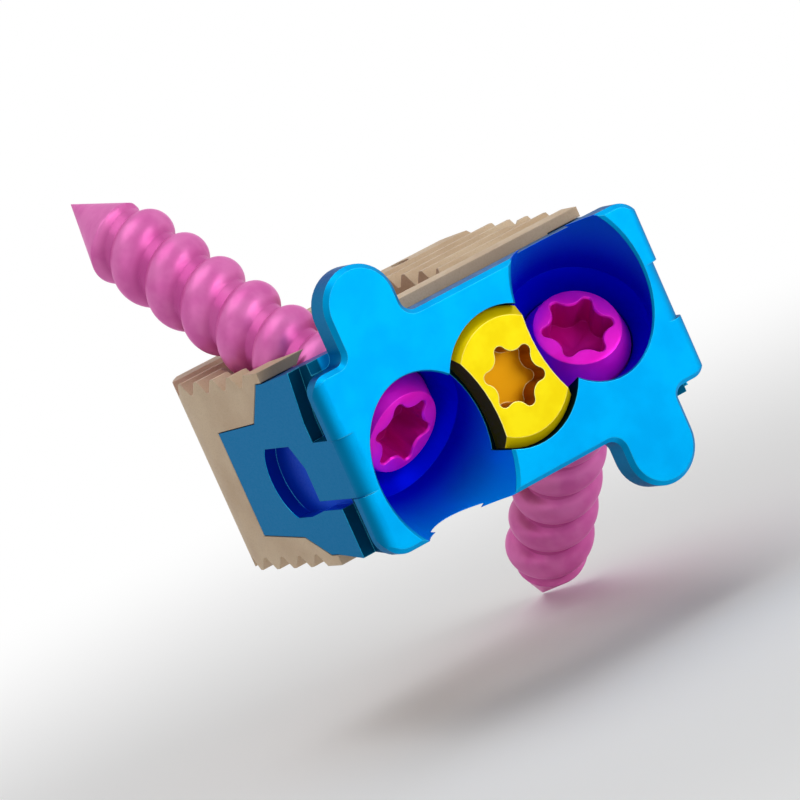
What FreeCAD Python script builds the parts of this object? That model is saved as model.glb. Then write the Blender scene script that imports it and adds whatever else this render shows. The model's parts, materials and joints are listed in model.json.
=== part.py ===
"""Stand-alone cervical interbody cage with a locking cam and two bone screws, in millimetres.

X runs to the viewer's right, Y from the front of the neck to the back, Z towards the head.
The origin lies on the cam's axis, in the plane of the fixation plate's front face. Half a turn
about Y maps the device onto itself, so most features are modelled once and patterned twice.
"""
import FreeCAD
import Part
import math
import os
import Sketcher

Vector = FreeCAD.Vector

# How far the outline of a cut runs past the solid, and how near two points count as one
OVERRUN = 1.0
NEAR = 1e-4

# Driving dimensions, in millimetres and degrees, written once and kept in the sheet
SIZES = {
    # fixation plate, front flange
    "cage_height": 8.0,
    "plate_width": 15.6,
    "flange_thickness": 1.15,
    "side_curve": 0.5,
    "corner_radius": 1.0,
    "front_bevel": 0.18,
    "flat_inset": 0.1,
    "flat_end": 1.0,
    "flat_start": 1.35,
    "flat_curve": 0.7,
    "lobe_drop": 0.6,
    "lobe_radius": 0.65,
    "lobe_fillet": 0.4,
    "tab_margin": 1.65,
    "tab_width": 3.1,
    "tab_rise": 2.6,
    "tab_fillet": 0.5,
    # fixation plate, block and side arms behind the flange
    "block_step": 0.1,
    "block_back": 4.3,
    "block_fall": 0.35,
    "arm_thickness": 1.6,
    "arm_reach": 9.8,
    "arm_top": 1.8,
    "arm_bottom": 2.55,
    "arm_taper": 0.2,
    "shoulder_back": 4.8,
    "shoulder_run": 1.6,
    # inserter grips in the plate's sides
    "grip_depth": 0.55,
    "grip_front": 0.8,
    "grip_back": 2.3,
    "grip_narrowing": 0.5,
    "keyway_back": 6.5,
    "keyway_front": 3.8,
    "keyway_lean": 0.6,
    "keyway_foot": 0.3,
    "keyway_heel": 1.2,
    "keyway_top": 0.95,
    "keyway_bottom": 1.95,
    "keyway_radius": 1.75,
    "keyway_slot": 0.4,
    # screw axes, the first value measured inwards from the plate's side
    "screw_inset": 3.72,
    "screw_z": 1.62,
    "screw_tilt": 37.3,
    "screw_splay": 5.3,
    "screw_spin": 26.0,
    # bone screws
    "head_inset": 2.34,
    "screw_length": 19.6,
    "face_diameter": 3.5,
    "head_diameter": 4.3,
    "head_flare": 1.0,
    "head_band": 0.35,
    "head_height": 2.2,
    "head_bevel": 0.15,
    "thread_diameter": 3.6,
    "tip_angle": 27.0,
    "socket_across": 2.8,
    "socket_depth": 1.5,
    "socket_lobe": 0.24,
    "socket_waist": 0.73,
    # pockets for the screws in plate and spacer
    "channel_diameter": 5.6,
    "channel_lead": 4.0,
    "mouth_bevel": 0.1,
    "seat_clearance": 0.06,
    "shank_clearance": 0.12,
    "spacer_bore_diameter": 4.0,
    # locking cam
    "cam_diameter": 5.4,
    "cam_thickness": 1.05,
    "cam_clearance": 0.05,
    "cam_bevel": 0.38,
    "scallop_radius": 5.9,
    "scallop_x": 7.2,
    "scallop_z": 1.2,
    "stem_diameter": 2.0,
    "stem_clearance": 0.03,
    "cam_socket_across": 2.6,
    "cam_socket_depth": 0.85,
    "cam_socket_spin": 40.0,
    "ring_diameter": 3.0,
    "ring_thickness": 0.7,
    # interbody spacer
    "spacer_depth": 15.0,
    "rear_radius": 4.0,
    "nose_length": 1.2,
    "nose_drop": 0.7,
    "tooth_pitch": 1.5,
    "tooth_depth": 0.5,
    "tooth_land": 0.24,
    "tooth_lead": 1.1,
    "window_width": 4.8,
    "window_front_wall": 2.0,
    "window_back_wall": 2.7,
    "window_radius": 0.8,
    "fit_gap": 0.04,
    # pins
    "pin_diameter": 0.8,
    "pin_inset": 1.2,
    "pin_bite": 0.5,
    "marker_diameter": 0.8,
    "marker_side_inset": 3.5,
    "marker_back_inset": 1.7,
}


class Size:
    """A length that knows its value and the sheet formula behind it."""

    def __init__(self, value, formula):
        self.value = value
        self.formula = formula

    def combine(self, other, sign, value):
        text = other.formula if isinstance(other, Size) else repr(float(other))
        return Size(value, "(%s %s %s)" % (self.formula, sign, text))

    def __add__(self, other):
        return self.combine(other, "+", self.value + number(other))

    def __sub__(self, other):
        return self.combine(other, "-", self.value - number(other))

    def __mul__(self, other):
        return self.combine(other, "*", self.value * number(other))

    def __truediv__(self, other):
        return self.combine(other, "/", self.value / number(other))

    def __neg__(self):
        return Size(-self.value, "(0 - %s)" % self.formula)


def number(size):
    return size.value if isinstance(size, Size) else float(size)


def size(name):
    return Size(SIZES[name], "Sizes." + name)


def make_sheet(doc):
    sheet = doc.addObject("Spreadsheet::Sheet", "Sizes")
    for row, (name, value) in enumerate(SIZES.items(), start=1):
        sheet.set("A%d" % row, name.replace("_", " "))
        sheet.set("B%d" % row, str(value))
        sheet.setAlias("B%d" % row, name)
    doc.recompute()


def bind(thing, prop, amount):
    """Set a property to a length and tie it to the sheet."""
    if isinstance(amount, Size):
        thing.setExpression(prop, amount.formula)
    else:
        setattr(thing, prop, amount)


def origin_feature(body, role):
    return next(item for item in body.Origin.OriginFeatures if item.Role == role)


def new_body(doc, name):
    body = doc.addObject("PartDesign::Body", name)
    body.Label = name
    return body


def new_sketch(body, plane, name, height=None):
    """A sketch on one of the body's origin planes, raised along the plane's normal."""
    sketch = body.newObject("Sketcher::SketchObject", name)
    sketch.AttachmentSupport = [(origin_feature(body, plane), "")]
    sketch.MapMode = "FlatFace"
    if height is not None:
        sketch.AttachmentOffset = FreeCAD.Placement(Vector(0, 0, number(height)), FreeCAD.Rotation())
        if isinstance(height, Size):
            sketch.setExpression("AttachmentOffset.Base.z", height.formula)
    return sketch


def constrain(sketch, kind, where, amount):
    index = sketch.addConstraint(Sketcher.Constraint(kind, *where, number(amount)))
    if isinstance(amount, Size):
        sketch.setExpression("Constraints[%d]" % index, amount.formula)


def arc_between(start, end, radius):
    """The minor arc from start to end: radius above zero keeps its centre to the left."""
    chord = end - start
    middle = (start + end) * 0.5
    side = Vector(-chord.y, chord.x, 0).normalize()
    reach = math.sqrt(max(radius * radius - chord.Length ** 2 / 4, 0.0))
    centre = middle + side * (reach if radius > 0 else -reach)
    circle = Part.Circle(centre, Vector(0, 0, 1), abs(radius))
    first, last = (start, end) if radius > 0 else (end, start)
    angle_first = math.atan2(first.y - centre.y, first.x - centre.x)
    angle_last = math.atan2(last.y - centre.y, last.x - centre.x)
    if angle_last < angle_first:
        angle_last += 2 * math.pi
    return Part.ArcOfCircle(circle, angle_first, angle_last)


def add_loop(sketch, points, arcs=None):
    """A closed loop through points; arcs maps the index of an edge to its radius."""
    arcs = arcs or {}
    first = sketch.GeometryCount
    count = len(points)
    ends = []
    for index, (across, up) in enumerate(points):
        start = Vector(number(across), number(up), 0)
        following = points[(index + 1) % count]
        end = Vector(number(following[0]), number(following[1]), 0)
        radius = arcs.get(index)
        if radius is None:
            sketch.addGeometry(Part.LineSegment(start, end), False)
        else:
            sketch.addGeometry(arc_between(start, end, number(radius)), False)
        ends.append((1, 2) if radius is None or number(radius) > 0 else (2, 1))
    for index in range(count):
        following = (index + 1) % count
        sketch.addConstraint(Sketcher.Constraint(
            "Coincident", first + index, ends[index][1], first + following, ends[following][0]))
    for index, (across, up) in enumerate(points):
        constrain(sketch, "DistanceX", (-1, 1, first + index, ends[index][0]), across)
        constrain(sketch, "DistanceY", (-1, 1, first + index, ends[index][0]), up)
        if index in arcs:
            radius = arcs[index]
            constrain(sketch, "Radius", (first + index,), radius if number(radius) > 0 else -radius)


def add_circle(sketch, across, up, radius):
    index = sketch.addGeometry(
        Part.Circle(Vector(number(across), number(up), 0), Vector(0, 0, 1), number(radius)), False)
    constrain(sketch, "DistanceX", (-1, 1, index, 3), across)
    constrain(sketch, "DistanceY", (-1, 1, index, 3), up)
    constrain(sketch, "Radius", (index,), radius)


def pad(body, sketch, length, name, reverse=False, both=False):
    feature = body.newObject("PartDesign::Pad", name)
    feature.Profile = sketch
    bind(feature, "Length", length)
    feature.Reversed = reverse
    feature.Midplane = both
    return feature


def pocket(body, sketch, name, length=None, reverse=False):
    """A pocket of the given length, or right through on both sides of the sketch."""
    feature = body.newObject("PartDesign::Pocket", name)
    feature.Profile = sketch
    if length is None:
        feature.Type = "ThroughAll"
        feature.Midplane = True
    else:
        bind(feature, "Length", length)
    feature.Reversed = reverse
    return feature


def turned(body, sketch, kind, name):
    """A full turn of the sketch about its own upright axis: Revolution adds, Groove cuts."""
    feature = body.newObject("PartDesign::" + kind, name)
    feature.Profile = sketch
    feature.ReferenceAxis = (sketch, ["V_Axis"])
    feature.Angle = 360
    return feature


def half_turn_pattern(body, features, name):
    """Repeat the features after half a turn about the cam's axis."""
    pattern = body.newObject("PartDesign::PolarPattern", name)
    pattern.Originals = features
    pattern.Axis = (origin_feature(body, "Y_Axis"), [""])
    pattern.Angle = 360
    pattern.Occurrences = 2
    body.Tip = pattern
    return pattern


def screw_direction():
    """Unit vector from head to tip of the upper screw, which climbs backwards and outwards."""
    tilt = math.radians(SIZES["screw_tilt"])
    splay = math.radians(SIZES["screw_splay"])
    return Vector(-math.sin(splay), math.cos(splay) * math.cos(tilt), math.cos(splay) * math.sin(tilt))


def screw_start():
    """Where the upper screw's axis crosses the plane of the plate's front face."""
    return Vector(SIZES["screw_inset"] - SIZES["plate_width"] / 2, 0, -SIZES["screw_z"])


def lay_on_screw_axis(body, sketch):
    """Turn a sketch so that its upright axis runs down the upper screw's axis."""
    down = screw_direction()
    across = down.cross(Vector(0, 0, 1)).normalize()
    outward = across.cross(down)
    turn = FreeCAD.Rotation(across, down, outward, "XYZ")
    plane = origin_feature(body, "XZ_Plane").Placement
    sketch.AttachmentOffset = plane.inverse().multiply(FreeCAD.Placement(screw_start(), turn))


def hexalobe(sketch, across, waist_share, lobe, spin=0.0):
    """A six-lobed socket outline, its lobes joined by tangent hollows, turned by spin degrees."""
    outer = across / 2 - lobe
    waist = across / 2 * waist_share
    third = math.cos(math.radians(30))
    top = number(lobe) ** 2 - number(outer) ** 2 - number(waist) ** 2 \
        + 2 * number(outer) * number(waist) * third
    hollow = top / (2 * (number(waist) - number(outer) * third - number(lobe)))
    hollow_centre = number(waist) + hollow
    points = []
    arcs = {}
    for turn in range(6):
        angle = math.radians(60 * turn + spin)
        centre = Vector(math.cos(angle), math.sin(angle), 0) * number(outer)
        for side in (-1, 1):
            away = angle + side * math.radians(30)
            far = Vector(math.cos(away), math.sin(away), 0) * hollow_centre
            meet = centre + (far - centre) * (number(lobe) / (number(lobe) + hollow))
            points.append((meet.x, meet.y))
        arcs[2 * turn] = number(lobe)
        arcs[2 * turn + 1] = -hollow
    add_loop(sketch, points, arcs)


def half_height():
    """The plate and the spacer reach equally far above and below the mid-plane."""
    return size("cage_height") / 2


def side():
    """The arms' outer faces, with which the block and the spacer are flush."""
    return size("plate_width") / 2 - size("flat_inset")


def plate_outline(sketch):
    """Front view of the flange: two lobed sides, and a tab up at the left and down at the right."""
    half_width = size("plate_width") / 2
    high = half_height()
    corner = size("corner_radius")
    lobe_top = high - size("lobe_drop")
    lobe = size("lobe_radius")
    notch = size("lobe_fillet")
    tab = size("tab_width") / 2
    tab_out = half_width - size("tab_margin")
    tab_in = tab_out - size("tab_width")
    tab_top = high + size("tab_rise")
    root = size("tab_fillet")
    half = [
        (-side(), -size("flat_start")),
        (-side(), size("flat_end")),
        (-half_width, size("flat_end")),
        (-half_width, lobe_top - lobe),
        (-half_width + lobe, lobe_top),
        (-tab_out - notch, lobe_top),
        (-tab_out, lobe_top + notch),
        (-tab_out, tab_top - tab),
        (-tab_out + tab, tab_top),
        (-tab_in, tab_top - tab),
        (-tab_in, high + root),
        (-tab_in + root, high),
        (half_width - corner, high),
        (half_width, high - corner),
        (half_width, size("flat_start")),
    ]
    arcs = {3: -lobe, 5: notch, 7: -tab, 8: -tab, 10: root, 12: -corner}
    other = {index + len(half): radius for index, radius in arcs.items()}
    add_loop(sketch, half + [(-across, -up) for across, up in half], {**arcs, **other})


def on_front(edge):
    """Whether an edge lies in the plane of the front face."""
    return all(abs(point.y) < NEAR for point in edge.discretize(5))


def bevel_edges(body, name, amount, chosen):
    """Chamfer the edges of the solid so far that the test picks."""
    base = body.Tip
    names = ["Edge%d" % index for index, edge in enumerate(base.Shape.Edges, start=1) if chosen(edge)]
    feature = body.newObject("PartDesign::Chamfer", name)
    feature.Base = (base, names)
    bind(feature, "Size", amount)
    return feature


def block_front_top():
    """Half the block's height where it meets the flange."""
    return half_height() - size("block_step")


def block_back_top():
    """Half the block's height at its back, which its slanted top and bottom fall to."""
    return block_front_top() - size("block_fall")


def arm_outline(grow):
    """Side view of the left arm, grown by a clearance for the slot that takes it."""
    high = block_front_top() + grow
    low = block_back_top() + grow
    back = size("arm_reach") + grow
    top = size("arm_top") + grow
    bottom = -size("arm_bottom") - grow
    shoulder = size("shoulder_back") + grow
    run = size("shoulder_run")
    return [
        (size("flange_thickness"), high),
        (size("block_back"), low),
        (shoulder, low),
        (shoulder + run, top + size("arm_taper")),
        (back, top),
        (back, bottom),
        (shoulder + run, bottom - size("arm_taper")),
        (shoulder, -low),
        (size("block_back"), -low),
        (size("flange_thickness"), -high),
    ]


def screw_pocket(body, name, shank):
    """Driver channel, conical shoulder, head bore, seat and shank hole on the screw's axis."""
    seat = size("seat_clearance")
    channel = size("channel_diameter") / 2
    head = size("head_diameter") / 2 + seat
    inset = size("head_inset")
    flare_end = inset + size("head_flare") + size("head_band")
    neck = inset + size("head_height") + seat
    sketch = new_sketch(body, "XZ_Plane", name + "Profile")
    lay_on_screw_axis(body, sketch)
    add_loop(sketch, [
        (0, -size("channel_lead")),
        (channel, -size("channel_lead")),
        (channel, inset),
        (head, inset + size("head_flare")),
        (head, flare_end + seat),
        (shank, neck),
        (shank, size("screw_length")),
        (0, size("screw_length")),
    ])
    return turned(body, sketch, "Groove", name)


def make_plate(doc):
    """Machined plate: flange with tabs, block, side arms, screw pockets and the cam's recess."""
    body = new_body(doc, "fixation_plate")
    half_width = size("plate_width") / 2
    past_side = half_width + OVERRUN
    curve = size("side_curve")

    outline = new_sketch(body, "XZ_Plane", "FlangeOutline")
    plate_outline(outline)
    pad(body, outline, size("flange_thickness"), "Flange", reverse=True)
    doc.recompute()

    bevel_edges(body, "FrontBevel", size("front_bevel"), on_front)

    corners = new_sketch(body, "XY_Plane", "SideCurveProfile")
    for sign in (1, -1):
        add_loop(corners, [
            ((half_width - curve) * sign, 0),
            (half_width * sign, curve),
            (past_side * sign, curve),
            (past_side * sign, -OVERRUN),
            ((half_width - curve) * sign, -OVERRUN),
        ], {0: curve * sign})
    pocket(body, corners, "SideCurve")

    bend = size("flat_curve")
    flat = new_sketch(body, "XY_Plane", "FlatCurveProfile", size("flat_end"))
    add_loop(flat, [(-side() + bend, 0), (-side(), bend), (-past_side, bend),
                    (-past_side, -OVERRUN), (-side() + bend, -OVERRUN)], {0: -bend})
    flat_cut = pocket(body, flat, "FlatCurve", size("flat_end") + size("flat_start"))

    front_y = size("flange_thickness")
    high = block_front_top()
    low = block_back_top()
    block = new_sketch(body, "YZ_Plane", "BlockOutline")
    add_loop(block, [(front_y, -high), (size("block_back"), -low), (size("block_back"), low), (front_y, high)])
    pad(body, block, side() * 2, "Block", both=True)

    arm = new_sketch(body, "YZ_Plane", "ArmOutline", -side())
    add_loop(arm, arm_outline(0))
    arm_pad = pad(body, arm, size("arm_thickness"), "Arm")

    grips = new_sketch(body, "YZ_Plane", "GripOutline", -half_width)
    front_y = size("grip_front")
    back_y = size("grip_back")
    narrow_y = back_y - size("grip_narrowing")
    past = half_height() + OVERRUN
    add_loop(grips, [(front_y, size("flat_end")), (back_y, size("flat_end")), (back_y, size("arm_top")),
                     (narrow_y, high), (narrow_y, past), (front_y, past)])
    slot_top = -size("flat_start")
    slot_low = slot_top - size("keyway_slot")
    key_back, key_front = size("keyway_back"), size("keyway_front")
    low = -size("keyway_bottom")
    add_loop(grips, [(front_y, slot_top), (key_front, slot_top), (key_front, 0),
                     (key_front + size("keyway_lean"), size("keyway_top")), (key_back, size("keyway_top")),
                     (key_back - size("keyway_foot"), low), (key_front + size("keyway_heel"), low),
                     (key_front, slot_low), (back_y, slot_low), (back_y, -past), (front_y, -past)],
             {4: -size("keyway_radius")})
    grip_cut = pocket(body, grips, "Grips", size("flat_inset") + size("grip_depth"), reverse=True)

    shank_hole = size("thread_diameter") / 2 + size("shank_clearance")
    screw_cut = screw_pocket(body, "ScrewPocket", shank_hole)
    half_turn_pattern(body, [flat_cut, arm_pad, grip_cut, screw_cut], "OtherSide")

    clear = size("cam_clearance")
    recess = new_sketch(body, "XZ_Plane", "CamRecessOutline")
    add_circle(recess, 0, 0, size("cam_diameter") / 2 + clear)
    pocket(body, recess, "CamRecess", size("cam_thickness") + clear)
    stem = new_sketch(body, "XZ_Plane", "StemBoreOutline")
    add_circle(stem, 0, 0, size("stem_diameter") / 2 + size("stem_clearance"))
    pocket(body, stem, "StemBore", size("block_back") + OVERRUN)
    ring = new_sketch(body, "XZ_Plane", "RingRecessOutline", -size("block_back"))
    add_circle(ring, 0, 0, size("ring_diameter") / 2 + clear)
    pocket(body, ring, "RingRecess", size("ring_thickness") + clear * 2, reverse=True)

    pins = new_sketch(body, "XY_Plane", "PinHoleOutline")
    for sign in (1, -1):
        add_circle(pins, pin_x() * sign, pin_y(), size("pin_diameter") / 2)
    pocket(body, pins, "PinHoles")
    doc.recompute()

    bevel_edges(body, "MouthBevel", size("mouth_bevel"),
                lambda edge: on_front(edge) and isinstance(edge.Curve, Part.Ellipse))
    return body


def pin_x():
    """The joining pins stand in the middle of the arms' thickness."""
    return side() - size("arm_thickness") / 2


def pin_y():
    """The joining pins stand near the arms' ends."""
    return size("arm_reach") - size("pin_inset")


def pin_end():
    """The left pin rises this high: it is pressed in from below, through the arm."""
    return size("arm_top") + size("pin_bite")


def marker_x():
    return side() - size("marker_side_inset")


def marker_y():
    return size("spacer_depth") - size("marker_back_inset")


def tooth_root():
    """Height of the tooth roots above the mid-plane."""
    return half_height() - size("tooth_depth")


def make_spacer(doc):
    """Moulded and milled body between the vertebrae: toothed faces, graft window, screw channels."""
    body = new_body(doc, "interbody_spacer")
    half_width = side()
    front = size("block_back") + size("fit_gap")
    back = size("spacer_depth")
    radius = size("rear_radius")
    top = half_height()

    outline = new_sketch(body, "XY_Plane", "FootprintOutline")
    add_loop(outline, [
        (half_width, front),
        (half_width, back - radius),
        (half_width - radius, back),
        (-half_width + radius, back),
        (-half_width, back - radius),
        (-half_width, front),
    ], {1: radius, 3: radius})
    pad(body, outline, size("cage_height"), "Footprint", both=True)

    teeth = new_sketch(body, "YZ_Plane", "ToothGaps")
    pitch = size("tooth_pitch")
    half_land = size("tooth_land") / 2
    first = size("block_back") + size("tooth_lead")
    nose = back - size("nose_length")
    gaps = int(number(nose - first) / number(pitch))
    for sign in (1, -1):
        over = (top + OVERRUN) * sign
        for index in range(gaps):
            begin = first + pitch * index
            middle = begin + pitch / 2
            end = begin + pitch - half_land
            add_loop(teeth, [
                (begin + half_land, over),
                (begin + half_land, top * sign),
                (middle - half_land, tooth_root() * sign),
                (middle + half_land, tooth_root() * sign),
                (end, top * sign),
                (end, over),
            ])
        add_loop(teeth, [
            (nose, top * sign),
            (back, (top - size("nose_drop")) * sign),
            (back + OVERRUN, (top - size("nose_drop")) * sign),
            (back + OVERRUN, over),
            (nose, over),
        ])
    pocket(body, teeth, "Teeth")

    window = new_sketch(body, "XY_Plane", "WindowOutline")
    half = size("window_width") / 2
    near = size("block_back") + size("window_front_wall")
    far = back - size("window_back_wall")
    bend = size("window_radius")
    add_loop(window, [
        (-half + bend, near), (half - bend, near), (half, near + bend), (half, far - bend),
        (half - bend, far), (-half + bend, far), (-half, far - bend), (-half, near + bend),
    ], {1: bend, 3: bend, 5: bend, 7: bend})
    pocket(body, window, "GraftWindow")

    slot = new_sketch(body, "YZ_Plane", "ArmSlotOutline", -half_width)
    add_loop(slot, arm_outline(size("fit_gap")))
    slot_cut = pocket(body, slot, "ArmSlot", size("arm_thickness") + size("fit_gap"), reverse=True)

    channel_cut = screw_pocket(body, "ScrewChannel", size("spacer_bore_diameter") / 2)

    pin = new_sketch(body, "XY_Plane", "PinHoleOutline", -top)
    add_circle(pin, -pin_x(), pin_y(), size("pin_diameter") / 2)
    pin_cut = pocket(body, pin, "PinHole", top + pin_end(), reverse=True)
    half_turn_pattern(body, [slot_cut, channel_cut, pin_cut], "OtherSide")

    markers = new_sketch(body, "XY_Plane", "MarkerHoleOutline")
    for sign in (1, -1):
        add_circle(markers, marker_x() * sign, marker_y(), size("marker_diameter") / 2)
    pocket(body, markers, "MarkerHoles")
    return body


def make_cam(doc):
    """Quarter-turn cam: two round lobes, two scallops that clear the screws, stem and socket."""
    body = new_body(doc, "locking_cam")
    radius = SIZES["cam_diameter"] / 2
    reach = SIZES["scallop_radius"]
    centre = Vector(SIZES["scallop_x"], SIZES["scallop_z"], 0)
    span = centre.Length
    along = (span ** 2 + radius ** 2 - reach ** 2) / (2 * span)
    aside = math.sqrt(radius ** 2 - along ** 2)
    unit = centre / span
    upper = unit * along + Vector(-unit.y, unit.x, 0) * aside
    lower = unit * along - Vector(-unit.y, unit.x, 0) * aside
    points = [(lower.x, lower.y), (upper.x, upper.y), (-lower.x, -lower.y), (-upper.x, -upper.y)]
    outline = new_sketch(body, "XZ_Plane", "CamOutline")
    add_loop(outline, points, {0: -reach, 1: radius, 2: -reach, 3: radius})
    pad(body, outline, size("cam_thickness"), "Lobes", reverse=True)
    doc.recompute()

    bevel_edges(body, "LobeBevel", size("cam_bevel"), lambda edge: on_front(edge) and all(
        abs(math.hypot(point.x, point.z) - radius) < NEAR for point in edge.discretize(5)))

    stem = new_sketch(body, "XZ_Plane", "StemOutline", -size("cam_thickness"))
    add_circle(stem, 0, 0, size("stem_diameter") / 2)
    pad(body, stem, size("block_back") - size("cam_thickness") - size("cam_clearance"), "Stem", reverse=True)

    socket = new_sketch(body, "XZ_Plane", "SocketOutline")
    hexalobe(socket, size("cam_socket_across"), SIZES["socket_waist"], size("socket_lobe"),
             SIZES["cam_socket_spin"])
    pocket(body, socket, "Socket", size("cam_socket_depth"))
    return body


def make_ring(doc):
    """Ring pressed onto the cam's stem behind the plate."""
    body = new_body(doc, "cam_retaining_ring")
    back = size("block_back") - size("cam_clearance")
    outline = new_sketch(body, "XZ_Plane", "RingOutline", -back)
    add_circle(outline, 0, 0, size("ring_diameter") / 2)
    add_circle(outline, 0, 0, size("stem_diameter") / 2)
    pad(body, outline, size("ring_thickness"), "Ring")
    return body


def make_screw(doc, name, upper):
    """Bone screw, turned about its own Z axis with the head's face at zero. The shank has the
    thread's outer diameter."""
    body = new_body(doc, name)
    face = size("face_diameter") / 2
    head = size("head_diameter") / 2
    shank = size("thread_diameter") / 2
    length = size("screw_length")
    bevel = size("head_bevel")
    tip = shank / math.tan(math.radians(SIZES["tip_angle"]))
    profile = new_sketch(body, "XZ_Plane", "TurnedProfile")
    add_loop(profile, [
        (0, 0),
        (face - bevel, 0),
        (face, bevel),
        (head, size("head_flare")),
        (head, size("head_flare") + size("head_band")),
        (shank, size("head_height")),
        (shank, length - tip),
        (0, length),
    ])
    turned(body, profile, "Revolution", "Blank")

    socket = new_sketch(body, "XY_Plane", "SocketOutline")
    hexalobe(socket, size("socket_across"), SIZES["socket_waist"], size("socket_lobe"))
    pocket(body, socket, "Socket", size("socket_depth"), reverse=True)

    down = screw_direction()
    turn = FreeCAD.Rotation(Vector(0, 0, 1), down).multiply(
        FreeCAD.Rotation(Vector(0, 0, 1), SIZES["screw_spin"]))
    place = FreeCAD.Placement(screw_start() + down * SIZES["head_inset"], turn)
    if not upper:
        place = FreeCAD.Placement(Vector(), FreeCAD.Rotation(Vector(0, 1, 0), 180)).multiply(place)
    body.Placement = place
    return body


def make_pin(doc, name, across, along, low, high, diameter):
    """Plain round pin standing upright in the spacer."""
    body = new_body(doc, name)
    outline = new_sketch(body, "XY_Plane", "PinOutline", low)
    add_circle(outline, across, along, diameter / 2)
    pad(body, outline, high - low, "Pin")
    return body


def make_pins(doc):
    root = tooth_root()
    thick = size("pin_diameter")
    make_pin(doc, "joining_pin_left", -pin_x(), pin_y(), -root, pin_end(), thick)
    make_pin(doc, "joining_pin_right", pin_x(), pin_y(), -pin_end(), root, thick)
    for name, sign in (("marker_pin_left", -1), ("marker_pin_right", 1)):
        make_pin(doc, name, marker_x() * sign, marker_y(), -root, root, size("marker_diameter"))


def check_document(doc):
    for item in doc.Objects:
        if "Invalid" in item.State or "Error" in item.State:
            raise RuntimeError("%s did not recompute: %s" % (item.Name, item.State))


def export_parts(doc):
    os.makedirs("parts", exist_ok=True)
    for body in doc.findObjects("PartDesign::Body"):
        shape = body.Shape
        if shape.isNull() or not shape.isValid() or len(shape.Solids) != 1:
            raise RuntimeError("%s is not one sound solid" % body.Label)
        shape.exportStep("parts/%s.step" % body.Label)
        print("%-20s %8.3f mm3 %s" % (body.Label, shape.Volume, shape.BoundBox))


def main():
    doc = FreeCAD.newDocument("interbody_cage")
    make_sheet(doc)
    make_plate(doc)
    make_spacer(doc)
    make_cam(doc)
    make_ring(doc)
    make_screw(doc, "bone_screw_upper", upper=True)
    make_screw(doc, "bone_screw_lower", upper=False)
    make_pins(doc)
    doc.recompute()
    check_document(doc)
    export_parts(doc)


main()
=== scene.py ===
"""Looks of the interbody cage: anodised metal, machined plastic and two threaded screws,
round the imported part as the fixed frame. Lengths in this file are in millimetres until they
reach a mesh, a lamp or the camera."""

import json
import math

import bpy
from mathutils import Matrix, Vector


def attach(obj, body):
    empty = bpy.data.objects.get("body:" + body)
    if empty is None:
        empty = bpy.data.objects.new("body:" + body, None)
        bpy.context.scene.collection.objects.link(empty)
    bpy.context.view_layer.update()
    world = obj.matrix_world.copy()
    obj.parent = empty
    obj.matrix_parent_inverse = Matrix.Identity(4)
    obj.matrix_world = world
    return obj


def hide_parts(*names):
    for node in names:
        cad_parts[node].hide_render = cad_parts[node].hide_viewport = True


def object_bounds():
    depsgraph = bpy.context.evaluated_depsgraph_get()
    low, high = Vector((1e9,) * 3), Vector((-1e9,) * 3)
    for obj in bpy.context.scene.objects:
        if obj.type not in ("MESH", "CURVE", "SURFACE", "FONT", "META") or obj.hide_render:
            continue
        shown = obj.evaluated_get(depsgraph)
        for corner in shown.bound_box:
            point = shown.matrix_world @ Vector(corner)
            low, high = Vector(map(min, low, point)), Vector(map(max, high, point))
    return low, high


MM = 0.001
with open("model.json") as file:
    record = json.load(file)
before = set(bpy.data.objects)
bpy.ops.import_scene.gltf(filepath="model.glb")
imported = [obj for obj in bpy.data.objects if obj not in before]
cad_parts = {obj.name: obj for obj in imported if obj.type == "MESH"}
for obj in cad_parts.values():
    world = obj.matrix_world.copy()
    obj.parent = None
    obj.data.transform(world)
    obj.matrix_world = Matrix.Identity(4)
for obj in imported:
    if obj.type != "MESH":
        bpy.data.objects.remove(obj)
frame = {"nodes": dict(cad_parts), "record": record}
cad_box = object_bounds()
nodes = frame["nodes"]

# Where the upper screw sits: its axis starts in the plane of the plate's front face
SCREW_START = Vector((-4.08, 0.0, -1.62))
SCREW_TILT = math.radians(37.3)
SCREW_SPLAY = math.radians(5.3)
SCREW_SPIN = math.radians(26.0)
HEAD_INSET = 2.34
SCREW_AXIS = Vector((
    -math.sin(SCREW_SPLAY),
    math.cos(SCREW_SPLAY) * math.cos(SCREW_TILT),
    math.cos(SCREW_SPLAY) * math.sin(SCREW_TILT),
))
HEAD_CENTRE = SCREW_START + SCREW_AXIS * HEAD_INSET
HALF_TURN = Matrix.Rotation(math.pi, 4, "Y")

# Screw sizes, with the head's face at zero and the tip at the far end
SOCKET_ACROSS = 2.8
SOCKET_DEPTH = 1.5
SOCKET_LOBE = 0.24
SOCKET_WAIST = 0.73
SOCKET_MOUTH = 0.07
SOCKET_CONE = 0.12
SOCKET_FILLET = (0.03, 0.05)
HEAD_PROFILE = [(1.6, 0.0), (1.71, 0.05), (1.75, 0.15), (2.12, 0.94), (2.15, 1.02),
                (2.15, 1.33), (2.11, 1.42), (1.84, 2.1), (1.8, 2.2)]
SCREW_LENGTH = 19.6
THREAD_START = 2.3
THREAD_RADIUS = 1.8
THREAD_PITCH = 2.1
THREAD_DEPTH = 0.47
THREAD_LAND = 1.62
THREAD_FADE = 1.3
TIP_ANGLE = math.radians(27.0)
TIP_ROUND = 0.06
TIP_INSET = 0.015

# How finely the screw is divided, and which of its edges stay sharp
COLUMNS = 120
ROWS_PER_PITCH = 24
POINTS_PER_MM = 20000
SHARP_ANGLE = math.radians(38)

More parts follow.
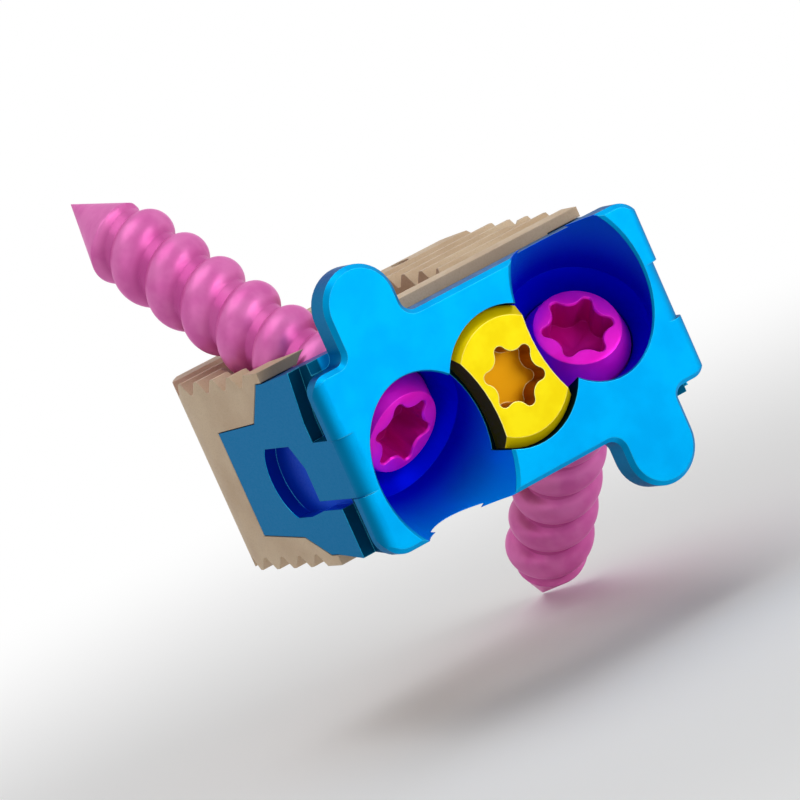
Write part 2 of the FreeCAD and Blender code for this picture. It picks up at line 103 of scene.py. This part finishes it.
# Where the plate's colours, painted shade and painted light change, each edge by where its change starts and
# ends
INSET_X = ((6.6, 6.7), (7.665, 7.69))
GROOVE_Y = ((0.82, 0.9), (2.3, 2.36))
KEYWAY_Y = ((2.3, 2.36), (7.3, 7.35))
KEYWAY_SHADE_Y = (3.6, 6.4)
KEYWAY_Z = (2.1, 2.2)
POCKET_RADIUS = (2.83, 2.85)
POCKET_END = (5.0, 5.6)
POCKET_MOUTH = (-0.8, 2.2)
POCKET_TOP_Y = (0.09, 0.13)
RECESS_RADIUS = (2.76, 2.78)
RECESS_WALL = (2.71, 2.73)
RECESS_WALL_Y = ((0.02, 0.08), (1.12, 1.16))
RECESS_FLOOR_Y = ((0.9, 1.0), (1.14, 1.2))

# Where the cam's and the screws' colours and painted shade change
CAM_SOCKET_RADIUS = (1.32, 1.36)
CAM_SOCKET_TOP_Y = (0.02, 0.06)
SCREW_SOCKET_RADIUS = (1.44, 1.48)
SCREW_SOCKET_ALONG = ((0.03, 0.12), (1.7, 1.8))
THREAD_TONE_ALONG = (1.6, 3.0)
VALLEY_RADIUS = (1.33, 1.58)
VALLEY_ALONG = ((2.4, 3.0), (SCREW_LENGTH - 3.6, SCREW_LENGTH - 2.8))

# Levels of the white surroundings, as a light and as seen
SKY_LIGHT = 0.28
SKY_SEEN = 1.0
FLOOR_SIDE = 3.0
FLOOR_DROP = 0.05
FLOOR_SHADED = (18.0, 75.0)


def linear(red, green, blue):
    """A colour as seen on a screen, 0 to 255, as the linear colour that shaders take."""
    values = []
    for value in (red, green, blue):
        share = value / 255
        values.append(share / 12.92 if share <= 0.04045 else ((share + 0.055) / 1.055) ** 2.4)
    return (*values, 1.0)


class Shader:
    """A material's node tree, built with short calls."""

    def __init__(self, name, roughness, metallic, specular=0.5, tint=None):
        self.material = bpy.data.materials.new(name)
        self.material.use_nodes = True
        self.tree = self.material.node_tree
        self.tree.nodes.clear()
        self.surface = self.add("ShaderNodeBsdfPrincipled")
        self.surface.inputs["Roughness"].default_value = roughness
        self.surface.inputs["Metallic"].default_value = metallic
        self.surface.inputs["Specular IOR Level"].default_value = specular
        if tint is not None:
            self.surface.inputs["Specular Tint"].default_value = tint
        self.output = self.add("ShaderNodeOutputMaterial")
        self.join(self.surface.outputs[0], self.output.inputs[0])
        self.geometry = self.add("ShaderNodeNewGeometry")

    def add(self, kind, **settings):
        node = self.tree.nodes.new(kind)
        for key, value in settings.items():
            setattr(node, key, value)
        return node

    def join(self, value, socket):
        """Feed a socket with another socket, or with a plain number or colour."""
        if isinstance(value, bpy.types.NodeSocket):
            self.tree.links.new(value, socket)
        else:
            socket.default_value = value

    def point(self):
        """Place on the piece in millimetres."""
        place = self.add("ShaderNodeTexCoord").outputs["Object"]
        return self.vector("SCALE", place, scale=1 / MM)

    def vector(self, operation, first, second=None, scale=None):
        node = self.add("ShaderNodeVectorMath", operation=operation)
        self.join(first, node.inputs[0])
        if second is not None:
            self.join(second, node.inputs[1])
        if scale is not None:
            self.join(scale, node.inputs["Scale"])
        return node.outputs["Value"] if operation in ("DOT_PRODUCT", "LENGTH") else node.outputs["Vector"]

    def math(self, operation, first, second=0.0):
        node = self.add("ShaderNodeMath", operation=operation)
        self.join(first, node.inputs[0])
        self.join(second, node.inputs[1])
        return node.outputs[0]

    def times(self, first, *others):
        """Product of several values."""
        for other in others:
            first = self.math("MULTIPLY", first, other)
        return first

    def axis(self, vector, name):
        node = self.add("ShaderNodeSeparateXYZ")
        self.join(vector, node.inputs[0])
        return node.outputs[name]

    def size(self, vector, name):
        """A part of a vector without its sign."""
        return self.math("ABSOLUTE", self.axis(vector, name))

    def combined(self, first, second, third):
        node = self.add("ShaderNodeCombineXYZ")
        for place, value in enumerate((first, second, third)):
            self.join(value, node.inputs[place])
        return node.outputs[0]

    def step(self, value, low, high, start=0.0, end=1.0):
        """Smooth change from start to end while the value goes from low to high."""
        node = self.add("ShaderNodeMapRange", interpolation_type="SMOOTHSTEP")
        self.join(value, node.inputs["Value"])
        for name, amount in (("From Min", low), ("From Max", high), ("To Min", start), ("To Max", end)):
            node.inputs[name].default_value = amount
        return node.outputs["Result"]

    def below(self, value, low, high):
        """One below an edge that lies from low to high, zero above it."""
        return self.step(value, low, high, 1, 0)

    def within(self, value, rise, fall):
        """One between two edges, zero outside them."""
        return self.times(self.step(value, *rise), self.below(value, *fall))

    def mix(self, factor, first, second):
        node = self.add("ShaderNodeMix", data_type="RGBA")
        self.join(factor, node.inputs[0])
        self.join(first, node.inputs[6])
        self.join(second, node.inputs[7])
        return node.outputs[2]

    def noise(self, point, scale, detail=2.0):
        node = self.add("ShaderNodeTexNoise")
        self.join(point, node.inputs["Vector"])
        node.inputs["Scale"].default_value = scale
        node.inputs["Detail"].default_value = detail
        return node.outputs[0]

    def lines(self, point, factors, detail=2.0):
        """Noise drawn out into lines, finest along the axis with the largest factor."""
        return self.noise(self.vector("MULTIPLY", point, factors), 1.0, detail)

    def rounded_normal(self, radius):
        node = self.add("ShaderNodeBevel", samples=6)
        node.inputs["Radius"].default_value = radius * MM
        return node.outputs[0]

    def edge(self, radius, low, high):
        """One on edges and corners, zero on open faces."""
        rounded = self.rounded_normal(radius)
        same = self.vector("DOT_PRODUCT", rounded, self.geometry.outputs["Normal"])
        return self.step(self.math("SUBTRACT", 1.0, same), low, high)

    def bump(self, height, strength, distance, radius):
        node = self.add("ShaderNodeBump")
        self.join(height, node.inputs["Height"])
        node.inputs["Strength"].default_value = strength
        node.inputs["Distance"].default_value = distance * MM
        self.join(self.rounded_normal(radius), node.inputs["Normal"])
        self.join(node.outputs[0], self.surface.inputs["Normal"])

    def colour(self, value):
        self.join(value, self.surface.inputs["Base Color"])

    def roughness(self, value):
        self.join(value, self.surface.inputs["Roughness"])

    def axis_distance(self, point, start, direction):
        """How far a point is from a line, and how far along it."""
        offset = self.vector("SUBTRACT", point, start)
        along = self.vector("DOT_PRODUCT", offset, direction)
        foot = self.vector("SCALE", direction, scale=along)
        aside = self.vector("LENGTH", self.vector("SUBTRACT", offset, foot))
        return aside, along

    def cam_distance(self, point):
        """How far a point is from the cam's axis."""
        return self.vector("LENGTH", self.vector("MULTIPLY", point, (1, 0, 1)))

    def seen(self):
        """One for the rays that show the surroundings, zero for those that light the part."""
        rays = self.add("ShaderNodeLightPath").outputs
        direct = self.math("MAXIMUM", rays["Is Camera Ray"], rays["Is Glossy Ray"])
        return self.math("MAXIMUM", direct, rays["Is Transmission Ray"])


def pocket_masks(s, point):
    """Inside of the two screw pockets, and a painted highlight on the part of them near their mouths.
    The lower screw's pocket gets less of this painted light."""
    deep = None
    painted_mouth_lights = None
    for sign, painted_light_share in ((1, 1.0), (-1, 0.4)):
        start = Vector((sign * SCREW_START.x, 0, sign * SCREW_START.z))
        axis = Vector((sign * SCREW_AXIS.x, SCREW_AXIS.y, sign * SCREW_AXIS.z))
        aside, along = s.axis_distance(point, start, axis)
        inside = s.times(s.below(aside, *POCKET_RADIUS), s.below(along, *POCKET_END))
        painted_mouth_light = s.times(inside, s.step(along, *POCKET_MOUTH, painted_light_share, 0))
        deep = inside if deep is None else s.math("MAXIMUM", deep, inside)
        painted_mouth_lights = painted_mouth_light if painted_mouth_lights is None else s.math("MAXIMUM", painted_mouth_lights, painted_mouth_light)
    return deep, painted_mouth_lights


def plate_material():
    """Blue anodised titanium: cyan in front, with painted shade that makes the sides teal and darkens the
    grooves, keyway and cam recess; deep blue in the screw pockets, partly a second anodised tone and partly
    painted shade, with painted light near their mouths and a painted highlight round the front face.
    """
    s = Shader("plate_blue", 0.34, 0.4, 0.06, linear(40, 190, 255))
    point = s.point()
    mottle = s.noise(point, 0.55, 3.0)
    fine = s.noise(point, 9.0)
    base = s.mix(s.step(mottle, 0.35, 0.65), linear(0, 168, 240), linear(0, 179, 248))

    # Painted shade: dark blue where a face looks up or down, teal where it looks sideways
    normal = s.geometry.outputs["Normal"]
    front = s.size(normal, "Y")
    base = s.mix(s.below(front, 0.25, 0.66), base, linear(0, 74, 132))
    base = s.mix(s.step(s.size(normal, "X"), 0.25, 0.9), base, linear(0, 118, 166))

    # Grip groove and keyway in each side, in painted shade: dark teal in the groove, blue that darkens
    # towards the back of the keyway
    along_y = s.axis(point, "Y")
    inset = s.within(s.size(point, "X"), *INSET_X)
    base = s.mix(s.times(inset, s.within(along_y, *GROOVE_Y)), base, linear(0, 78, 112))
    keyway = s.times(inset, s.within(along_y, *KEYWAY_Y), s.below(s.size(point, "Z"), *KEYWAY_Z))
    shade = s.mix(s.step(along_y, *KEYWAY_SHADE_Y), linear(0, 84, 216), linear(0, 48, 168))
    base = s.mix(keyway, base, shade)

    # Screw pockets: deep blue, partly a second anodised tone and partly painted shade, with a painted
    # highlight near their mouths
    deep, painted_mouth_lights = pocket_masks(s, point)
    deep = s.times(deep, s.step(along_y, *POCKET_TOP_Y))
    base = s.mix(deep, base, s.mix(painted_mouth_lights, linear(0, 6, 216), linear(0, 146, 255)))

    # Recess of the cam: painted shade, almost black, on its wall and on the ledge at its floor
    away = s.cam_distance(point)
    wall = s.times(s.within(away, RECESS_WALL, RECESS_RADIUS), s.within(along_y, *RECESS_WALL_Y))
    painted_ledge_shade = s.times(s.below(away, *RECESS_RADIUS), s.step(front, 0.9, 0.95))
    painted_ledge_shade = s.times(painted_ledge_shade, s.within(along_y, *RECESS_FLOOR_Y))
    base = s.mix(s.math("MAXIMUM", wall, painted_ledge_shade), base, linear(0, 30, 40))

    # Painted highlight: paler rim round the front face
    painted_edge_highlight = s.times(s.edge(0.07, 0.02, 0.2), s.step(front, 0.6, 0.72), 0.6)
    s.colour(s.mix(painted_edge_highlight, base, linear(90, 226, 255)))
    marks = s.lines(point, (2.0, 6.0, 34.0))
    s.roughness(s.step(s.math("ADD", marks, fine), 0.7, 1.3, 0.28, 0.42))
    s.bump(marks, 0.25, 0.004, 0.05)
    return s.material


def spacer_material():
    """Natural machined plastic, tan, matt, slightly mottled, with fine cutter lines."""
    s = Shader("spacer_tan", 0.55, 0.0)
    point = s.point()
    cloud = s.noise(point, 0.4, 4.0)
    grain = s.noise(point, 14.0, 3.0)
    base = s.mix(s.step(cloud, 0.3, 0.7), linear(196, 168, 136), linear(213, 189, 158))
    base = s.mix(s.step(grain, 0.45, 0.75, 0.0, 0.35), base, linear(178, 148, 116))
    # Painted highlight: paler along the edges
    painted_edge_highlight = s.times(s.edge(0.08, 0.03, 0.25), 0.4)
    s.colour(s.mix(painted_edge_highlight, base, linear(236, 220, 196)))
    lines = s.lines(point, (3.0, 3.0, 26.0))
    s.roughness(s.step(lines, 0.3, 0.7, 0.48, 0.62))
    s.bump(s.math("ADD", lines, s.times(grain, 0.5)), 0.3, 0.006, 0.06)
    s.surface.inputs["Subsurface Weight"].default_value = 0.08
    s.surface.inputs["Subsurface Radius"].default_value = (0.0006, 0.0004, 0.0002)
    return s.material


def cam_material():
    """Yellow anodised titanium, with painted shade: darker yellow on its bevels, dark olive on its walls,
    and orange inside the driver socket, darkest on the socket's walls; a painted highlight on its front
    edges.
    """
    s = Shader("cam_yellow", 0.36, 0.3, 0.1, linear(255, 236, 150))
    point = s.point()
    front = s.size(s.geometry.outputs["Normal"], "Y")
    tone = s.step(s.noise(point, 0.9, 3.0), 0.35, 0.65)
    base = s.mix(tone, linear(243, 217, 10), linear(250, 229, 20))
    # Painted shade: darker yellow on the bevels, dark olive on the walls
    base = s.mix(s.below(front, 0.8, 0.95), base, linear(238, 212, 0))
    base = s.mix(s.below(front, 0.2, 0.5), base, linear(62, 62, 6))
    # Painted shade in the driver socket: orange, darker on its walls than on its floor
    inner = s.step(s.axis(point, "Y"), *CAM_SOCKET_TOP_Y)
    socket = s.times(s.below(s.cam_distance(point), *CAM_SOCKET_RADIUS), inner)
    wall = s.mix(s.step(front, 0.3, 0.7), linear(168, 92, 4), linear(232, 160, 12))
    base = s.mix(socket, base, wall)
    # Painted highlight on the front edges
    painted_edge_highlight = s.times(s.edge(0.09, 0.02, 0.16), s.step(front, 0.7, 0.9, 0.1, 0.85))
    s.colour(s.mix(painted_edge_highlight, base, linear(255, 250, 190)))
    grain = s.lines(point, (8.0, 8.0, 8.0))
    s.roughness(s.step(grain, 0.3, 0.7, 0.3, 0.44))
    s.bump(grain, 0.2, 0.003, 0.05)
    return s.material


def screw_material():
    """Magenta anodised titanium: bright head, pinker thread, painted shade in the socket and in the
    thread's valleys, and a painted highlight on the edges. The lower screw's points are first
    turned half a turn, onto the upper screw."""
    s = Shader("screw_magenta", 0.34, 0.3, 0.15, linear(255, 170, 240))
    point = s.point()
    side = s.times(s.math("SIGN", s.axis(point, "X")), -1.0)
    point = s.vector("MULTIPLY", point, s.combined(side, 1.0, side))
    away, along = s.axis_distance(point, HEAD_CENTRE, SCREW_AXIS)
    tone = s.step(s.noise(point, 0.8, 3.0), 0.35, 0.65)
    head = s.mix(tone, linear(240, 20, 206), linear(250, 34, 220))
    thread = s.mix(tone, linear(216, 102, 174), linear(228, 122, 188))
    base = s.mix(s.step(along, *THREAD_TONE_ALONG), head, thread)
    # Painted shade in the thread's valleys
    painted_valley_shade = s.times(s.below(away, *VALLEY_RADIUS), s.within(along, *VALLEY_ALONG), 0.4)
    base = s.mix(painted_valley_shade, base, linear(170, 40, 126))
    # Painted shade: darker magenta in the driver socket
    socket = s.times(s.below(away, *SCREW_SOCKET_RADIUS), s.within(along, *SCREW_SOCKET_ALONG))
    base = s.mix(socket, base, linear(204, 4, 150))
    # Painted highlight: paler along the edges
    painted_edge_highlight = s.times(s.edge(0.05, 0.03, 0.25), 0.4)
    s.colour(s.mix(painted_edge_highlight, base, linear(255, 150, 245)))
    turned = s.combined(s.axis(point, "X"), s.axis(point, "Y"), along)
    lines = s.lines(turned, (1.5, 1.5, 30.0))
    s.roughness(s.step(lines, 0.3, 0.7, 0.28, 0.42))
    s.bump(lines, 0.25, 0.004, 0.04)
    return s.material


def bare_metal(name, dark, light, factors):
    """Bare machined or drawn metal with fine lines along one direction."""
    s = Shader(name, 0.35, 1.0)
    lines = s.lines(s.point(), factors, 3.0)
    s.colour(s.mix(s.step(lines, 0.3, 0.7), dark, light))
    s.roughness(s.step(lines, 0.3, 0.7, 0.28, 0.46))
    s.bump(lines, 0.3, 0.004, 0.04)
    return s.material


MATERIALS = {
    "plate_metal": plate_material(),
    "spacer_plastic": spacer_material(),
    "cam_metal": cam_material(),
    "screw_metal": screw_material(),
    "ring_metal": bare_metal("ring_titanium", linear(172, 172, 176), linear(206, 205, 206), (3, 30, 3)),
    "pin_metal": bare_metal("pin_titanium", linear(170, 170, 174), linear(202, 202, 204), (3, 3, 30)),
    "marker_metal": bare_metal("marker_tantalum", linear(124, 128, 136), linear(158, 161, 168), (30, 30, 3)),
}


def paint(obj, slot):
    obj.data.materials.clear()
    obj.data.materials.append(MATERIALS[slot])


def hexalobe_radius(angle):
    """Distance from the screw's axis to its socket's wall in a direction."""
    outer = SOCKET_ACROSS / 2 - SOCKET_LOBE
    waist = SOCKET_ACROSS / 2 * SOCKET_WAIST
    third = math.cos(math.radians(30))
    top = SOCKET_LOBE ** 2 - outer ** 2 - waist ** 2 + 2 * outer * waist * third
    hollow = top / (2 * (waist - outer * third - SOCKET_LOBE))
    far = waist + hollow
    share = SOCKET_LOBE / (SOCKET_LOBE + hollow)
    meet = math.atan2(far * 0.5 * share, outer + (far * third - outer) * share)
    turn = math.radians(60)
    off = abs((angle + turn / 2) % turn - turn / 2)
    if off <= meet:
        return outer * math.cos(off) + math.sqrt(SOCKET_LOBE ** 2 - (outer * math.sin(off)) ** 2)
    back = turn / 2 - off
    return far * math.cos(back) - math.sqrt(hollow ** 2 - (far * math.sin(back)) ** 2)


def thread_drop(along, angle):
    """How far the surface lies below the thread's crest: round crests between sharp valleys."""
    rise = THREAD_LAND / 2
    bulge = (rise ** 2 + THREAD_DEPTH ** 2) / (2 * THREAD_DEPTH)
    place = (along - THREAD_PITCH * angle / (2 * math.pi)) % THREAD_PITCH
    off = min(abs(place - THREAD_PITCH / 2), rise)
    share = min(1.0, max(0.0, (along - THREAD_START) / THREAD_FADE))
    return (bulge - math.sqrt(bulge ** 2 - off ** 2)) * share * share * (3 - 2 * share)


def shank_radius(along, angle):
    """Thread, cut to a point by the tip's cone, the two blended over a hair's breadth."""
    thread = THREAD_RADIUS - thread_drop(along, angle)
    cone = (SCREW_LENGTH - along) * math.tan(TIP_ANGLE)
    gap = max(0.0, 1 - abs(thread - cone) / TIP_ROUND)
    return min(thread, cone) - gap * gap * TIP_ROUND / 4


def screw_rings(angles):
    """Rings of (radius, place along the axis) from the socket's floor over the head to the tip.
    The thread's rings climb with the thread, so that its valleys stay sharp, and close up on
    themselves one pitch further on."""
    walls = [hexalobe_radius(angle) for angle in angles]
    fillet_in, fillet_up = SOCKET_FILLET
    rings = [
        [(0.0, SOCKET_DEPTH + SOCKET_CONE)] * len(angles),
        [(wall * 0.5, SOCKET_DEPTH + SOCKET_CONE / 2) for wall in walls],
        [(wall - fillet_in, SOCKET_DEPTH) for wall in walls],
        [(wall, SOCKET_DEPTH - fillet_up) for wall in walls],
        [(wall, SOCKET_MOUTH) for wall in walls],
        [(wall + SOCKET_MOUTH, 0.0) for wall in walls],
    ]
    for radius, along in HEAD_PROFILE:
        rings.append([(radius, along)] * len(angles))
    rows = int((SCREW_LENGTH - THREAD_START) / THREAD_PITCH + 2) * ROWS_PER_PITCH
    last = SCREW_LENGTH - 2 * TIP_INSET
    for row in range(rows + 1):
        start = THREAD_START - THREAD_PITCH + row * THREAD_PITCH / ROWS_PER_PITCH
        ring = []
        for angle in angles:
            along = min(last, max(THREAD_START, start + THREAD_PITCH * angle / (2 * math.pi)))
            ring.append((shank_radius(along, angle), along))
        rings.append(ring)
    rings.append([(0.0, SCREW_LENGTH - TIP_INSET)] * len(angles))
    return rings


def screw_mesh():
    """The screw about the Z axis, with points that fall on each other joined into one."""
    angles = [2 * math.pi * column / COLUMNS for column in range(COLUMNS + 1)]
    points = []
    known = {}
    index = []
    for ring in screw_rings(angles):
        row = []
        for (radius, along), angle in zip(ring, angles):
            spot = (radius * math.cos(angle), radius * math.sin(angle), along)
            key = tuple(round(value * POINTS_PER_MM) for value in spot)
            if key not in known:
                known[key] = len(points)
                points.append([value * MM for value in spot])
            row.append(known[key])
        index.append(row)
    faces = []
    for low, high in zip(index, index[1:]):
        for column in range(COLUMNS):
            corners = [low[column], high[column], high[column + 1], low[column + 1]]
            face = [corner for place, corner in enumerate(corners) if corner != corners[place - 1]]
            if len(set(face)) >= 3:
                faces.append(face)
    mesh = bpy.data.meshes.new("bone_screw")
    mesh.from_pydata(points, [], faces)
    mesh.validate()
    for polygon in mesh.polygons:
        polygon.use_smooth = True
    mesh.set_sharp_from_angle(angle=SHARP_ANGLE)
    return mesh


def add_screw(name, mesh, body, node, turn):
    spin = Matrix.Rotation(SCREW_SPIN, 4, "Z")
    lean = Vector((0, 0, 1)).rotation_difference(SCREW_AXIS).to_matrix().to_4x4()
    place = Matrix.Translation(HEAD_CENTRE * MM)
    mesh.transform(turn @ place @ lean @ spin)
    screw = bpy.data.objects.new(name, mesh)
    bpy.context.scene.collection.objects.link(screw)
    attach(screw, body)
    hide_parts(node)
    paint(screw, "screw_metal")


screw_form = screw_mesh()
add_screw("threaded_screw_upper", screw_form.copy(), "upper_screw", "bone_screw_upper", Matrix.Identity(4))
add_screw("threaded_screw_lower", screw_form.copy(), "lower_screw", "bone_screw_lower", HALF_TURN)
bpy.data.meshes.remove(screw_form)

for part in frame["record"]["subparts"]:
    if not nodes[part["node"]].hide_render:
        paint(nodes[part["node"]], part["material_slot"])


# Floor, white far out and shaded near the part
def add_floor(level):
    mesh = bpy.data.meshes.new("floor")
    corners = [(-1, -1), (1, -1), (1, 1), (-1, 1)]
    mesh.from_pydata([(x * FLOOR_SIDE, y * FLOOR_SIDE, level) for x, y in corners], [], [(0, 1, 2, 3)])
    floor = bpy.data.objects.new("floor", mesh)
    bpy.context.scene.collection.objects.link(floor)
    s = Shader("floor_pale", 0.9, 0.0, 0.1)
    s.colour(linear(246, 246, 246))
    away = s.vector("LENGTH", s.vector("MULTIPLY", s.point(), (1, 1, 0)))
    both = s.add("ShaderNodeMixShader")
    s.join(s.times(s.seen(), s.step(away, *FLOOR_SHADED)), both.inputs[0])
    s.join(s.surface.outputs[0], both.inputs[1])
    s.join(s.add("ShaderNodeEmission").outputs[0], both.inputs[2])
    s.join(both.outputs[0], s.output.inputs[0])
    mesh.materials.append(s.material)


add_floor(cad_box[0].z - FLOOR_DROP * MM)


# White round about for the camera and for reflections, dimmer as a light
def add_world():
    world = bpy.data.worlds.new("studio")
    world.use_nodes = True
    tree = world.node_tree
    tree.nodes.clear()
    rays = tree.nodes.new("ShaderNodeLightPath")
    total = rays.outputs["Is Camera Ray"]
    for name in ("Is Glossy Ray", "Is Transmission Ray"):
        joined = tree.nodes.new("ShaderNodeMath")
        joined.operation = "MAXIMUM"
        tree.links.new(total, joined.inputs[0])
        tree.links.new(rays.outputs[name], joined.inputs[1])
        total = joined.outputs[0]
    mixed = tree.nodes.new("ShaderNodeMixShader")
    tree.links.new(total, mixed.inputs[0])
    for place, strength in ((1, SKY_LIGHT), (2, SKY_SEEN)):
        sky = tree.nodes.new("ShaderNodeBackground")
        sky.inputs["Color"].default_value = (1, 1, 1, 1)
        sky.inputs["Strength"].default_value = strength
        tree.links.new(sky.outputs[0], mixed.inputs[place])
    output = tree.nodes.new("ShaderNodeOutputWorld")
    tree.links.new(mixed.outputs[0], output.inputs[0])
    bpy.context.scene.world = world


add_world()


def add_lamp(name, direction, distance, width, level):
    """Square lamp, sizes in metres, that lights a white surface facing it to the given level."""
    data = bpy.data.lights.new(name, "AREA")
    data.shape = "SQUARE"
    data.size = width
    data.energy = level * math.pi ** 2 * distance ** 2
    lamp = bpy.data.objects.new(name, data)
    bpy.context.scene.collection.objects.link(lamp)
    towards = Vector(direction).normalized()
    lamp.location = towards * distance
    lamp.rotation_mode = "QUATERNION"
    lamp.rotation_quaternion = towards.to_track_quat("Z", "Y")
    lamp.visible_camera = False


add_lamp("key_lamp", (0.5, -0.82, 0.12), 0.36, 0.26, 0.6)
add_lamp("top_lamp", (-0.1, 0.1, 1.0), 0.4, 0.34, 0.44)
add_lamp("side_lamp", (-0.9, -0.35, 0.3), 0.4, 0.3, 0.08)


# Camera at the photograph's viewing angle, with its roll
def add_camera():
    right = Vector((0.795, -0.4539, -0.4024))
    up = Vector((0.4241, -0.0584, 0.9037))
    back = right.cross(up).normalized()
    up = back.cross(right).normalized()
    away = 179.0
    across = 30.0
    shift_right = -4.3
    shift_up = -0.9
    data = bpy.data.cameras.new("camera")
    data.sensor_width = 36.0
    data.lens = data.sensor_width * away / across
    data.clip_start = 0.01
    data.clip_end = 20.0
    camera = bpy.data.objects.new("camera", data)
    bpy.context.scene.collection.objects.link(camera)
    place = Matrix((right, up, back)).transposed().to_4x4()
    place.translation = (right * shift_right + up * shift_up + back * away) * MM
    camera.matrix_world = place
    bpy.context.scene.camera = camera


add_camera()

bpy.context.scene.view_settings.view_transform = "Standard"
